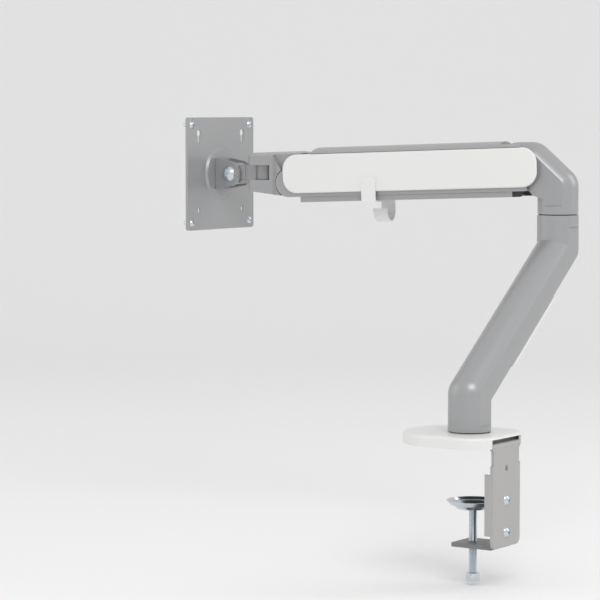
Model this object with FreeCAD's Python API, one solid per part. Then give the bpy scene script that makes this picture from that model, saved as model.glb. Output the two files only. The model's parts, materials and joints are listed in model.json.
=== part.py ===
import FreeCAD, Part
import math
import os

# Desk-clamp monitor arm, in millimetres.
# The origin is on the desk surface, on the axis of the base post.
# +Z is up, +Y points to the rear edge of the desk and X runs along that edge.

os.makedirs("parts", exist_ok=True)

# ---------------------------------------------------------------- driving dimensions

# fits and gaps
SLIDE_FIT = 0.05           # a pin or shaft in the hole that it turns in, on the radius
LOOSE_FIT = 0.5            # a screw shank in a plain hole, on the radius
OPEN_PIVOT = 0.15          # more play where the parallelogram is open, on the radius
SIDE_GAP = 0.8             # between two cheeks that turn past each other
SEAT_GAP = 0.4             # between a cover and the piece that it hides

# base cover
BASE_WIDTH = 95.0
BASE_FRONT = 65.0          # from the post axis to the front of the cover
BASE_REAR = 41.0           # from the post axis to its straight rear edge
BASE_CORNER = 28.0
BASE_TOP = 11.0
BASE_EDGE = 3.0
COVER_WALL = 2.2

# base plate, post and pad
PAD_THICK = 1.2
CLAMP_SHEET = 3.0
BASE_PLATE = 4.0
POST_RADIUS = 12.5
POST_FLANGE_RADIUS = 19.0
POST_TOP = 43.0
POST_GROOVE = 1.5
THRUST_WASHER = 1.0

# clamp
CLAMP_WIDTH = 50.0
CLAMP_NECK = 46.0
CLAMP_FACE = 40.3          # rear face of the clamp plate, from the post axis
CLAMP_BOTTOM = -93.4
CLAMP_LEG = 62.0           # length of the leg that lies on the desk
CLAMP_HOLE_TOP = -20.0
CLAMP_HOLE_PITCH = 30.0
JAW_SHEET = 4.0
JAW_WIDTH = 35.0
JAW_TOP = -43.0
JAW_BOTTOM = -95.7
JAW_REACH = 49.0           # from the rear face of the clamp plate
SCREW_REACH = 36.0         # from the same face to the clamp screw
CLAMP_SCREW_RADIUS = 4.0
CLAMP_SCREW_END = -129.0
DISH_RADIUS = 25.0
DISH_RIM = -52.8
DISH_DEPTH = 7.8
DISH_SHEET = 1.6
M5 = 2.5
M5_HEAD = 4.9
JAW_NUT = 2.7              # thin nuts, which the dish passes on its way up

# lower arm
TUBE_RADIUS = 20.3
TUBE_FLAT = 18.1           # from the centre plane to the flat of the tube
TUBE_WALL = 4.2
LOWER_REACH = 150.3
LOWER_YAW = 176.3          # heading of the lower arm, degrees from +X
LOWER_BEND = 46.6
UPPER_BEND = 176.6
ELBOW_JOINT = 209.6
LOWER_LEDGE = 17.3
UPPER_LEDGE = 198.6
UNDERSIDE = 14.0           # from the sloped axis to the flat underside
CABLE_COVER_LENGTH = 96.0
CABLE_COVER_THICK = 3.0
CABLE_CHANNEL_TOP = 7.0     # how far the hollow reaches above the sloped axis

# elbow knuckle
KNUCKLE_RADIUS = 19.9
KNUCKLE_FLAT = 17.1
KNUCKLE_LEDGE = 218.2
KNUCKLE_TOP = 280.5
KNUCKLE_SHOULDER = 246.0
KNUCKLE_SLOPE = 42.0
ELBOW_SPIGOT_RADIUS = 12.5
ELBOW_SPIGOT_DEPTH = 30.0
BUSH_WALL = 2.5

# upper arm
UPPER_YAW = -78.5          # heading of the upper arm, degrees from +X
UPPER_PITCH = -2.1         # degrees above level, so the front droops a little
PIVOT_REACH = 38.0         # from the elbow axis to the rear main pivot
PIVOT_HEIGHT = 247.0
LINK_LENGTH = 238.0        # between the rear and the front pivots
LINK_RISE = 17.0           # from a main pivot up to the link pivot above it
PIN_RADIUS = 4.0
CROWN_TOP = 34.6
CROWN_RADIUS = 60.2
ROOF_HALF = 26.0
ROOF_THICK = 2.5
ROOF_REAR = -8.0
ROOF_FRONT = LINK_LENGTH - 22.0
CHEEK_INNER = 20.6
CHEEK_THICK = 3.0
CHEEK_END = 14.3           # radius of the rounded cheek about the front pivot
CHEEK_TOP = 28.0
COVER_REAR = -24.1
COVER_FRONT = LINK_LENGTH + 5.5
COVER_LOW = -10.7
COVER_HIGH = 28.3
COVER_CORNER = 15.0
COVER_EDGE = 1.6
TRAY_REAR = -6.6
TRAY_FRONT = LINK_LENGTH - 12.0
TRAY_LOW = -19.8
TRAY_HALF = 22.6
TRAY_WALL = 1.5
TRAY_END = 8.7

# spring assembly inside the upper arm
BAR_INNER = 17.9
BAR_THICK = 2.2
BAR_HALF = 6.5
ROD_RADIUS = 4.0
ROD_END = 196.0
EYE_RADIUS = 8.0
EYE_HALF = 4.5
LIFT_SWING = 35.5          # the largest swing of the arm from rest, degrees
RIB_START = 34.0
RIB_THICK = 8.0
SPRING_RADIUS = 11.0       # outside of the coil
SPRING_WIRE = 3.6
SPRING_LENGTH = 100.0
SPRING_TURNS = 14
CUP_THICK = 4.0
NUT_THICK = 12.0
NUT_RADIUS = 11.0

# cable hook
HOOK_START = 143.0
HOOK_WIDTH = 15.0
HOOK_SHEET = 1.5
HOOK_TAB_TOP = 4.0
HOOK_LOW = -42.4
HOOK_LIP = -28.3
HOOK_DEPTH = 22.0
HOOK_TAB_CORNER = 2.5

# front fork
YOKE_HALF = 23.0
FORK_HALF = 19.8
FORK_STEP = 13.3           # where the body starts to narrow to the fork
FORK_START = 19.2
FORK_TIP = 47.2
YOKE_CROWN = 31.6
YOKE_LOW_REAR = -13.2
YOKE_LOW_FRONT = -8.7
YOKE_WEDGE = 56.0          # half angle of the body seen from the front pivot
SLOT_START = 23.0
SLOT_LOW = 2.7
SLOT_HIGH = 17.5
SWIVEL_REACH = 35.2
SWIVEL_PIN_RADIUS = 4.0
BARREL_RADIUS = 11.2
BARREL_GAP = 0.3
LUG_START = 24.0           # from the swivel pin, past the corners of the fork
LUG_DROP = 5.0

# tilting head
HEAD_REACH = 37.7          # from the swivel pin to the tilt axis
TILT_DROP = 1.9            # the tilt axis is this much below the middle of the slot
TILT_RADIUS = 11.0
TILT_HALF = 9.4
EAR_GAP = 0.6
EAR_THICK = 3.0
EAR_NOSE = 13.0
EAR_ROOT_HALF = 16.0
EAR_LENGTH = 13.8          # from the tilt axis to the web of the bracket
WEB_THICK = 3.0
TILT_BOLT_RADIUS = 4.0
TILT_HEAD_RADIUS = 8.0
PLATE_HALF = 57.5
PLATE_THICK = 2.6
PLATE_CORNER = 3.0
BOSS_RADIUS = 27.5
BOSS_INNER = 22.5
BOSS_RISE = 2.0
HUB_RADIUS = 8.0
HUB_BOLT_RADIUS = 3.0
VESA_LARGE = 100.0
VESA_SMALL = 75.0
M4 = 2.0
M4_HEAD = 3.9
M4_SHANK = 1.8             # plain shank under the head of a rolled-thread screw
STUD_LENGTH = 7.0          # of thread in front of the plate

# ---------------------------------------------------------------- helpers

V = FreeCAD.Vector
X_AXIS = V(1, 0, 0)
Y_AXIS = V(0, 1, 0)
Z_AXIS = V(0, 0, 1)


def block(x0, x1, y0, y1, z0, z1):
    return Part.makeBox(x1 - x0, y1 - y0, z1 - z0, V(x0, y0, z0))


def upright(radius, x, y, z0, z1):
    return Part.makeCylinder(radius, z1 - z0, V(x, y, z0))


def across(radius, x, z, y0, y1):
    """A cylinder along Y."""
    return Part.makeCylinder(radius, y1 - y0, V(x, y0, z), Y_AXIS)


def along(radius, y, z, x0, x1):
    """A cylinder along X."""
    return Part.makeCylinder(radius, x1 - x0, V(x0, y, z), X_AXIS)


def side_panel(points, y0, y1):
    """A flat panel with its outline in X and Z, between two Y planes."""
    corners = [V(x, y0, z) for x, z in points]
    outline = Part.makePolygon(corners + corners[:1])
    return Part.Face(outline).extrude(V(0, y1 - y0, 0))


def rounded_panel(x0, x1, z0, z1, corner, y0, y1):
    """A rectangle in X and Z with four round corners, between two Y planes."""
    panel = block(x0, x1, y0, y1, z0, z1)
    edges = [e for e in panel.Edges if abs(e.tangentAt(e.FirstParameter).y) > 0.9]
    return panel.makeFillet(corner, edges)


def capsule(x0, z0, r0, x1, z1, r1, y0, y1):
    """Two discs in X and Z and the belt around them, between two Y planes."""
    length = math.hypot(x1 - x0, z1 - z0)
    heading = math.atan2(z1 - z0, x1 - x0)
    spread = math.acos((r0 - r1) / length)
    belt = []
    for x, z, r, sign in ((x0, z0, r0, 1), (x0, z0, r0, -1), (x1, z1, r1, -1), (x1, z1, r1, 1)):
        angle = heading + sign * spread
        belt.append((x + r * math.cos(angle), z + r * math.sin(angle)))
    discs = across(r0, x0, z0, y0, y1).fuse(across(r1, x1, z1, y0, y1))
    return side_panel(belt, y0, y1).fuse(discs).removeSplitter()


def mirrored(shape):
    """The same shape on the other side of the XZ plane."""
    return shape.mirror(V(0, 0, 0), Y_AXIS)


def ring(outer, inner, x, y, z0, z1):
    return upright(outer, x, y, z0, z1).cut(upright(inner, x, y, z0, z1))


def cross_ring(outer, inner, x, z, y0, y1):
    return across(outer, x, z, y0, y1).cut(across(inner, x, z, y0, y1))


def button_screw(shank, head, length, socket=True):
    """A button-head screw along +Z: the head sits on z = 0 and the shank hangs below."""
    rise = head * 0.62
    ball = (head * head + rise * rise) / (2 * rise)
    dome = Part.makeSphere(ball, V(0, 0, rise - ball)).common(upright(head, 0, 0, 0, rise))
    screw = dome.fuse(upright(shank, 0, 0, -length, 0))
    if socket:
        screw = screw.cut(hex_bar(shank * 1.2, rise * 0.35, rise + 1))
    return screw.removeSplitter()


def hex_bar(width, z0, z1):
    """A six-sided bar along Z, of this width across its flats."""
    reach = width / math.sqrt(3)
    corners = [V(reach * math.cos(k * math.pi / 3), reach * math.sin(k * math.pi / 3), z0) for k in range(6)]
    return Part.Face(Part.makePolygon(corners + corners[:1])).extrude(V(0, 0, z1 - z0))


def turned(shape, axis, degrees, centre=V(0, 0, 0)):
    copy = shape.copy()
    copy.rotate(centre, axis, degrees)
    return copy


def moved(shape, x, y, z):
    copy = shape.copy()
    copy.translate(V(x, y, z))
    return copy


def save(name, *solids):
    shape = solids[0] if len(solids) == 1 else Part.makeCompound(list(solids))
    shape.exportStep("parts/" + name + ".step")


# ---------------------------------------------------------------- places of the moving frames

ELBOW_X = LOWER_REACH * math.cos(math.radians(LOWER_YAW))
ELBOW_Y = LOWER_REACH * math.sin(math.radians(LOWER_YAW))
LINK_RUN = LINK_LENGTH * math.cos(math.radians(UPPER_PITCH))
LINK_FALL = LINK_LENGTH * math.sin(math.radians(UPPER_PITCH))
FRONT_HEIGHT = PIVOT_HEIGHT + LINK_FALL
SWIVEL_RUN = PIVOT_REACH + LINK_RUN + SWIVEL_REACH
SWIVEL_X = ELBOW_X + SWIVEL_RUN * math.cos(math.radians(UPPER_YAW))
SWIVEL_Y = ELBOW_Y + SWIVEL_RUN * math.sin(math.radians(UPPER_YAW))
SLOT_MIDDLE = FRONT_HEIGHT + (SLOT_LOW + SLOT_HIGH) / 2
# the link pivot, seen from the main pivot in the frame of the pitched arm
LINK_X = LINK_RISE * math.sin(math.radians(UPPER_PITCH))
LINK_Z = LINK_RISE * math.cos(math.radians(UPPER_PITCH))


def on_lower_arm(shape):
    return turned(shape, Z_AXIS, LOWER_YAW)


def on_knuckle(shape):
    return moved(turned(shape, Z_AXIS, UPPER_YAW), ELBOW_X, ELBOW_Y, 0)


def on_upper_arm(shape):
    pitched = turned(shape, Y_AXIS, -UPPER_PITCH)
    return on_knuckle(moved(pitched, PIVOT_REACH, 0, PIVOT_HEIGHT))


def on_yoke(shape):
    return on_knuckle(moved(shape, PIVOT_REACH + LINK_RUN, 0, FRONT_HEIGHT))


# ---------------------------------------------------------------- base and clamp

PLATE_BOTTOM = PAD_THICK + CLAMP_SHEET
PLATE_TOP = PLATE_BOTTOM + BASE_PLATE
FLANGE_TOP = BASE_TOP + 0.3
ARM_START = FLANGE_TOP + THRUST_WASHER
CLAMP_INNER = CLAMP_FACE - CLAMP_SHEET
SCREW_Y = CLAMP_FACE - SCREW_REACH
BORE_RADIUS = POST_RADIUS + SLIDE_FIT + BUSH_WALL
GROOVE_Z = 25.5
PLATE_SCREWS = (-15.0, 15.0)
PLATE_SCREW_Y = 24.0


def base_outline(shrink, z0, z1):
    """The plan of the base: round at the front, straight at the rear."""
    half = BASE_WIDTH / 2 - shrink
    rear = BASE_REAR - shrink
    corner = BASE_CORNER - shrink
    middle = BASE_WIDTH / 2 - BASE_FRONT
    body = block(-half, half, middle, rear, z0, z1)
    upright_edges = [e for e in body.Edges if abs(e.tangentAt(e.FirstParameter).z) > 0.9]
    rear_edges = [e for e in upright_edges if e.CenterOfMass.y > middle + 1]
    body = body.makeFillet(corner, rear_edges)
    return body.fuse(upright(half, 0, middle, z0, z1)).removeSplitter()


def make_base_cover():
    shell = base_outline(0, 0.3, BASE_TOP)
    top_edges = [e for e in shell.Edges if e.BoundBox.ZMin > BASE_TOP - 0.01]
    shell = shell.makeFillet(BASE_EDGE, top_edges)
    shell = shell.cut(base_outline(COVER_WALL, 0, BASE_TOP - COVER_WALL))
    shell = shell.cut(upright(POST_FLANGE_RADIUS + SEAT_GAP, 0, 0, 0, BASE_TOP + 1))
    notch = CLAMP_WIDTH / 2 + 1.2
    return shell.cut(block(-notch, notch, CLAMP_INNER - 4, BASE_REAR + 1, 0, PLATE_TOP + 0.3))


def make_desk_pad():
    return base_outline(COVER_WALL + 0.6, 0, PAD_THICK).cut(
        block(-BASE_WIDTH, BASE_WIDTH, CLAMP_INNER - 4, BASE_REAR, 0, PAD_THICK))


def make_base_plate():
    plate = base_outline(COVER_WALL + 0.6, PAD_THICK, PLATE_TOP)
    half = CLAMP_WIDTH / 2 + SEAT_GAP
    recess = block(-half, half, CLAMP_FACE - CLAMP_LEG - SEAT_GAP, BASE_REAR, 0, PLATE_BOTTOM)
    plate = plate.cut(recess).cut(block(-BASE_WIDTH, BASE_WIDTH, CLAMP_INNER - 4, BASE_REAR, 0, PLATE_TOP))
    plate = plate.cut(upright(POST_RADIUS, 0, 0, 0, PLATE_TOP))
    for x in PLATE_SCREWS:
        plate = plate.cut(upright(M5, x, PLATE_SCREW_Y, 0, PLATE_TOP))
    return plate


def make_post():
    post = upright(POST_RADIUS, 0, 0, PLATE_BOTTOM, POST_TOP)
    post = post.fuse(upright(POST_FLANGE_RADIUS, 0, 0, PLATE_TOP, FLANGE_TOP)).removeSplitter()
    groove = ring(POST_RADIUS + 1, POST_RADIUS - POST_GROOVE, 0, 0, GROOVE_Z - 3, GROOVE_Z + 3)
    return post.cut(groove)


def make_thrust_washer():
    return ring(POST_FLANGE_RADIUS - 0.5, POST_RADIUS + LOOSE_FIT, 0, 0, FLANGE_TOP, ARM_START)


def make_clamp_bracket():
    """Bent steel: a leg on the desk, a bend and a tall plate with turned-in side flanges."""
    half = CLAMP_WIDTH / 2
    leg = block(-half, half, CLAMP_FACE - CLAMP_LEG, CLAMP_FACE, PAD_THICK, PLATE_BOTTOM)
    wall = block(-half, half, CLAMP_INNER, CLAMP_FACE, CLAMP_BOTTOM, PLATE_BOTTOM)
    low = [e for e in wall.Edges if abs(e.tangentAt(e.FirstParameter).y) > 0.9 and e.CenterOfMass.z < -50]
    wall = wall.makeFillet(6.0, low)
    body = leg.fuse(wall).removeSplitter()
    outer = [e for e in body.Edges if abs(e.tangentAt(e.FirstParameter).x) > 0.9
             and e.CenterOfMass.y > CLAMP_FACE - 0.01 and e.CenterOfMass.z > PLATE_BOTTOM - 0.01]
    body = body.makeFillet(CLAMP_SHEET - 0.2, outer)
    for side in (-1, 1):
        x0 = min(side * half, side * (half - 1.8))
        flange = block(x0, x0 + 1.8, CLAMP_INNER - 6.0, CLAMP_INNER, CLAMP_BOTTOM + 12, -24.0)
        body = body.fuse(flange)
        neck0 = min(side * half, side * CLAMP_NECK / 2)
        neck = block(neck0, neck0 + (CLAMP_WIDTH - CLAMP_NECK) / 2, CLAMP_INNER - 1, CLAMP_FACE + 1, -16.0, -2.0)
        body = body.cut(neck)
    for k in range(3):
        z = CLAMP_HOLE_TOP - k * CLAMP_HOLE_PITCH
        body = body.cut(across(M5, 0, z, CLAMP_INNER - 1, CLAMP_FACE + 1))
    for x in PLATE_SCREWS:
        body = body.cut(upright(M5, x, PLATE_SCREW_Y, 0, PLATE_TOP))
    return body.removeSplitter()


def make_plate_screws():
    """Two flat rivet screws that hold the clamp leg under the base plate."""
    return [upright(M5, x, PLATE_SCREW_Y, PAD_THICK, PLATE_TOP) for x in PLATE_SCREWS]


def make_jaw_bracket():
    """The lower L: its leg is screwed inside the clamp plate and its foot holds the screw."""
    half = JAW_WIDTH / 2
    back = CLAMP_INNER
    leg = block(-half, half, back - JAW_SHEET, back, JAW_BOTTOM, JAW_TOP)
    foot = block(-half, half, CLAMP_FACE - JAW_REACH, back, JAW_BOTTOM, JAW_BOTTOM + JAW_SHEET)
    body = leg.fuse(foot).removeSplitter()
    bend = [e for e in body.Edges if abs(e.tangentAt(e.FirstParameter).x) > 0.9
            and e.CenterOfMass.y > back - 0.01 and e.CenterOfMass.z < JAW_BOTTOM + 0.01]
    body = body.makeFillet(JAW_SHEET - 0.2, bend)
    inner = [e for e in body.Edges if abs(e.tangentAt(e.FirstParameter).x) > 0.9
             and abs(e.CenterOfMass.y - back + JAW_SHEET) < 0.01
             and abs(e.CenterOfMass.z - JAW_BOTTOM - JAW_SHEET) < 0.01]
    body = body.makeFillet(2.0, inner)
    for k in (1, 2):
        z = CLAMP_HOLE_TOP - k * CLAMP_HOLE_PITCH
        body = body.cut(across(M5, 0, z, back - JAW_SHEET - 1, back + 1))
    return body.cut(upright(CLAMP_SCREW_RADIUS + SLIDE_FIT, 0, SCREW_Y, JAW_BOTTOM - 1, JAW_BOTTOM + JAW_SHEET + 1))


def make_jaw_screws():
    screws = []
    for k in (1, 2):
        screw = button_screw(M5, M5_HEAD, CLAMP_SHEET + JAW_SHEET + JAW_NUT + 0.2)
        z = CLAMP_HOLE_TOP - k * CLAMP_HOLE_PITCH
        screws.append(moved(turned(screw, X_AXIS, -90), 0, CLAMP_FACE, z))
    return screws


def make_jaw_nuts():
    nuts = []
    for k in (1, 2):
        nut = hex_bar(8.0, 0, JAW_NUT).cut(upright(M5, 0, 0, -1, JAW_NUT + 1))
        z = CLAMP_HOLE_TOP - k * CLAMP_HOLE_PITCH
        nuts.append(moved(turned(nut, X_AXIS, 90), 0, CLAMP_INNER - JAW_SHEET, z))
    return nuts


def make_clamp_dish():
    """A pressed dish, open upward, that pushes against the underside of the desk."""
    low = DISH_RIM - DISH_DEPTH
    points = [(0, low), (15.0, low), (19.0, low + 3.2), (21.5, low + 3.8), (DISH_RADIUS, DISH_RIM)]
    outer = [V(r, 0, z) for r, z in points]
    inner = [V(r, 0, z + DISH_SHEET) for r, z in reversed(points[:-1])]
    rim = V(DISH_RADIUS - DISH_SHEET, 0, DISH_RIM)
    outline = Part.makePolygon(outer + [rim] + inner + outer[:1])
    dish = Part.Face(outline).revolve(V(0, 0, 0), Z_AXIS, 360)
    return moved(dish.cut(upright(2.0 + SLIDE_FIT, 0, 0, low - 1, DISH_RIM)), 0, SCREW_Y, 0)


def make_clamp_screw():
    """The M8 screw: a peened pin through the dish, the shank and a cross-drilled head."""
    top = DISH_RIM - DISH_DEPTH - 0.3
    shank = upright(CLAMP_SCREW_RADIUS, 0, SCREW_Y, CLAMP_SCREW_END + 8.0, top)
    head = upright(6.5, 0, SCREW_Y, CLAMP_SCREW_END, CLAMP_SCREW_END + 8.0)
    pin = upright(2.0, 0, SCREW_Y, top, top + DISH_SHEET + 0.8)
    rivet = upright(3.4, 0, SCREW_Y, top + DISH_SHEET + 0.6, top + DISH_SHEET + 1.8)
    body = shank.fuse([head, pin, rivet]).removeSplitter()
    bar = along(2.3, SCREW_Y, CLAMP_SCREW_END + 4.0, -10, 10)
    return body.cut(turned(bar, Z_AXIS, 35.0, V(0, SCREW_Y, 0)))


# ---------------------------------------------------------------- lower arm (its frame: +X along the reach)

SLOPE = math.degrees(math.atan2(UPPER_BEND - LOWER_BEND, LOWER_REACH))
SLOPE_LENGTH = math.hypot(UPPER_BEND - LOWER_BEND, LOWER_REACH)


def on_slope(shape):
    """From a frame along the sloped tube, with +Z out of its upper side, to the arm frame."""
    return moved(turned(shape, Y_AXIS, -SLOPE), 0, 0, LOWER_BEND)


def bent_tube(radius):
    """The outside of the dogleg: two upright ends and a sloped middle."""
    foot = upright(radius, 0, 0, ARM_START, LOWER_BEND)
    slope = on_slope(along(radius, 0, 0, 0, SLOPE_LENGTH))
    head = upright(radius, LOWER_REACH, 0, UPPER_BEND, ELBOW_JOINT)
    low = Part.makeSphere(radius, V(0, 0, LOWER_BEND))
    high = Part.makeSphere(radius, V(LOWER_REACH, 0, UPPER_BEND))
    return foot.fuse([slope, head, low, high]).removeSplitter()


def make_lower_arm():
    body = bent_tube(TUBE_RADIUS)
    far = TUBE_RADIUS + 1
    for side in (-1, 1):
        y0 = min(side * TUBE_FLAT, side * far)
        body = body.cut(block(-far, LOWER_REACH + far, y0, y0 + far - TUBE_FLAT, LOWER_LEDGE, UPPER_LEDGE))
    under = on_slope(block(-4.0, SLOPE_LENGTH + 4.0, -far, far, -far - 8, -UNDERSIDE))
    keep_foot = upright(TUBE_RADIUS, 0, 0, ARM_START, LOWER_BEND)
    keep_head = upright(TUBE_RADIUS, LOWER_REACH, 0, UPPER_BEND, ELBOW_JOINT)
    body = body.cut(under.cut(keep_foot.fuse(keep_head)))
    body = body.cut(upright(BORE_RADIUS, 0, 0, 0, POST_TOP + 1.5))
    spigot_bore = ELBOW_SPIGOT_RADIUS + SLIDE_FIT + BUSH_WALL
    body = body.cut(upright(spigot_bore, LOWER_REACH, 0, ELBOW_JOINT - ELBOW_SPIGOT_DEPTH - 1.5, ELBOW_JOINT + 1))
    body = body.cut(on_slope(cable_channel()))
    return body.cut(across(M5, 0, GROOVE_Z, 0, far))


def cable_channel():
    """The hollow in the sloped tube that the cables lie in, open underneath."""
    middle = SLOPE_LENGTH / 2
    half = CABLE_COVER_LENGTH / 2 - 6.0
    side = TUBE_FLAT - TUBE_WALL
    return block(middle - half, middle + half, -side, side, -TUBE_RADIUS - 1, CABLE_CHANNEL_TOP)


def make_cable_cover():
    """A snap-in strip that closes the channel; its lower end tapers away."""
    middle = SLOPE_LENGTH / 2
    half = CABLE_COVER_LENGTH / 2
    width = TUBE_FLAT - 2.6
    low = -UNDERSIDE - CABLE_COVER_THICK
    plate = side_panel([(middle - half, -UNDERSIDE), (middle - half + 9.0, low), (middle + half - 2.0, low),
                        (middle + half, -UNDERSIDE)], -width, width)
    tongue = TUBE_FLAT - TUBE_WALL
    for side in (-1, 1):
        y0 = min(side * tongue, side * (tongue - 1.6))
        plate = plate.fuse(block(middle - 25, middle + 25, y0, y0 + 1.6, -UNDERSIDE, -UNDERSIDE + 7.0))
    return on_slope(plate.removeSplitter())


def make_base_bushes():
    low = ring(BORE_RADIUS, POST_RADIUS + SLIDE_FIT, 0, 0, ARM_START + 0.3, GROOVE_Z - 4)
    high = ring(BORE_RADIUS, POST_RADIUS + SLIDE_FIT, 0, 0, GROOVE_Z + 4, POST_TOP)
    return [low, high]


def make_stop_screw():
    """A grub screw whose tip runs in the groove of the post and keeps the arm on it."""
    tip = POST_RADIUS - POST_GROOVE + 0.5
    screw = across(M5 - 0.3, 0, GROOVE_Z, tip, BORE_RADIUS - 0.2).fuse(
        across(M5, 0, GROOVE_Z, BORE_RADIUS - 0.2, TUBE_RADIUS - 1.2))
    drive = moved(turned(hex_bar(2.5, 0, 4), X_AXIS, -90), 0, TUBE_RADIUS - 3.4, GROOVE_Z)
    return screw.removeSplitter().cut(drive)


def make_elbow_bush():
    low = ELBOW_JOINT - ELBOW_SPIGOT_DEPTH
    inner = ELBOW_SPIGOT_RADIUS + SLIDE_FIT
    return ring(inner + BUSH_WALL, inner, LOWER_REACH, 0, low, ELBOW_JOINT - 0.2)


def make_elbow_washer():
    return ring(KNUCKLE_RADIUS - 1.2, ELBOW_SPIGOT_RADIUS + LOOSE_FIT, LOWER_REACH, 0, ELBOW_JOINT, ELBOW_JOINT + 1.0)


# ---------------------------------------------------------------- knuckle (its frame: +X along the upper arm)

KNUCKLE_START = ELBOW_JOINT + 1.0
MAIN_Z = PIVOT_HEIGHT
LINK_PIVOT_Z = PIVOT_HEIGHT + LINK_RISE
HEAD_NOSE = KNUCKLE_TOP - LINK_PIVOT_Z


TURN_Z = KNUCKLE_SHOULDER - KNUCKLE_RADIUS * (1 - math.sin(math.radians(KNUCKLE_SLOPE))) / math.cos(
    math.radians(KNUCKLE_SLOPE))
CROWN_Z = KNUCKLE_TOP - KNUCKLE_RADIUS
CROWN_X = (CROWN_Z - TURN_Z) / math.tan(math.radians(KNUCKLE_SLOPE))
HEAD_LOW = MAIN_Z - 13.0
UNDER_FILLET = 9.0


def knuckle_tube():
    """The swept tube of the knuckle: upright stem, sloped shoulder and level crown."""
    r = KNUCKLE_RADIUS
    stem = upright(r, 0, 0, KNUCKLE_START, TURN_Z)
    low_ball = Part.makeSphere(r, V(0, 0, TURN_Z))
    slope = moved(turned(along(r, 0, 0, 0, math.hypot(CROWN_X, CROWN_Z - TURN_Z)), Y_AXIS, -KNUCKLE_SLOPE),
                  0, 0, TURN_Z)
    high_ball = Part.makeSphere(r, V(CROWN_X, 0, CROWN_Z))
    crown = along(r, 0, CROWN_Z, CROWN_X, PIVOT_REACH + HEAD_NOSE)
    return stem.fuse([low_ball, slope, high_ball, crown])


def make_knuckle():
    r = KNUCKLE_RADIUS
    foot = HEAD_LOW - UNDER_FILLET
    inner = math.sqrt(r ** 2 - KNUCKLE_FLAT ** 2)
    web = side_panel([(0, foot), (inner, foot), (r, foot + UNDER_FILLET * 0.4), (r + UNDER_FILLET, HEAD_LOW),
                      (PIVOT_REACH, HEAD_LOW), (PIVOT_REACH, CROWN_Z), (CROWN_X, CROWN_Z), (0, TURN_Z)],
                     -KNUCKLE_FLAT, KNUCKLE_FLAT)
    web = web.cut(across(UNDER_FILLET, r + UNDER_FILLET, foot, -r, r))
    nose = capsule(PIVOT_REACH, MAIN_Z, 13.0, PIVOT_REACH, LINK_PIVOT_Z, HEAD_NOSE, -KNUCKLE_FLAT, KNUCKLE_FLAT)
    keep = nose.fuse(block(-r - 1, PIVOT_REACH, -r - 1, r + 1, 0, KNUCKLE_TOP + 1))
    nose = nose.common(knuckle_tube().fuse(block(0, 80, -r, r, 0, CROWN_Z)))
    body = knuckle_tube().common(keep).fuse([web, nose])
    for side in (-1, 1):
        y0 = min(side * KNUCKLE_FLAT, side * (r + 1))
        body = body.cut(block(-r - 1, PIVOT_REACH + 21, y0, y0 + r + 1 - KNUCKLE_FLAT, KNUCKLE_LEDGE, KNUCKLE_TOP + 1))
    body = body.cut(across(PIN_RADIUS + SLIDE_FIT, PIVOT_REACH, MAIN_Z, -r, r))
    body = body.cut(across(PIN_RADIUS, PIVOT_REACH, LINK_PIVOT_Z, -r, r))
    body = body.cut(eye_slot())
    return body.cut(upright(ELBOW_SPIGOT_RADIUS, 0, 0, KNUCKLE_START - 1, KNUCKLE_START + 18)).removeSplitter()


def eye_slot():
    """Room in the middle of the knuckle for the spring eye, over the whole swing of the arm."""
    half = EYE_HALF + SIDE_GAP
    reach = EYE_RADIUS + 3.2
    slot = across(reach, PIVOT_REACH, LINK_PIVOT_Z, -half, half)
    ray = slot_ray(reach)
    for swing in (-LIFT_SWING, 0, LIFT_SWING):
        slot = slot.fuse(turned(ray, Y_AXIS, -swing, V(PIVOT_REACH, 0, LINK_PIVOT_Z)))
    return slot


def slot_ray(reach):
    half = EYE_HALF + SIDE_GAP
    return block(PIVOT_REACH, PIVOT_REACH + 40, -half, half, LINK_PIVOT_Z - reach, LINK_PIVOT_Z + reach)


def make_elbow_spigot():
    """The steel spigot pressed into the knuckle; it turns in the bush of the lower arm."""
    spigot = upright(ELBOW_SPIGOT_RADIUS, 0, 0, ELBOW_JOINT - ELBOW_SPIGOT_DEPTH, KNUCKLE_START + 18)
    return spigot.cut(upright(5.0, 0, 0, ELBOW_JOINT - ELBOW_SPIGOT_DEPTH - 1, KNUCKLE_START + 8))


def make_rear_link_pin():
    """Pressed in the knuckle, it carries both link bars and the spring eye."""
    reach = BAR_INNER + BAR_THICK
    return across(PIN_RADIUS, PIVOT_REACH, LINK_PIVOT_Z, -reach, reach)


# ---------------------------------------------------------------- upper arm (its frame: main pivot at the origin)

def crown_panel(x0, x1, drop, half):
    """A long solid under the crowned roof line, lowered by drop, down to the cheek tops."""
    centre = CROWN_TOP - CROWN_RADIUS
    tube = along(CROWN_RADIUS - drop, 0, centre, x0, x1)
    return tube.common(block(x0, x1, -half, half, CHEEK_TOP - 8.0, CROWN_TOP + 1))


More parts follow.
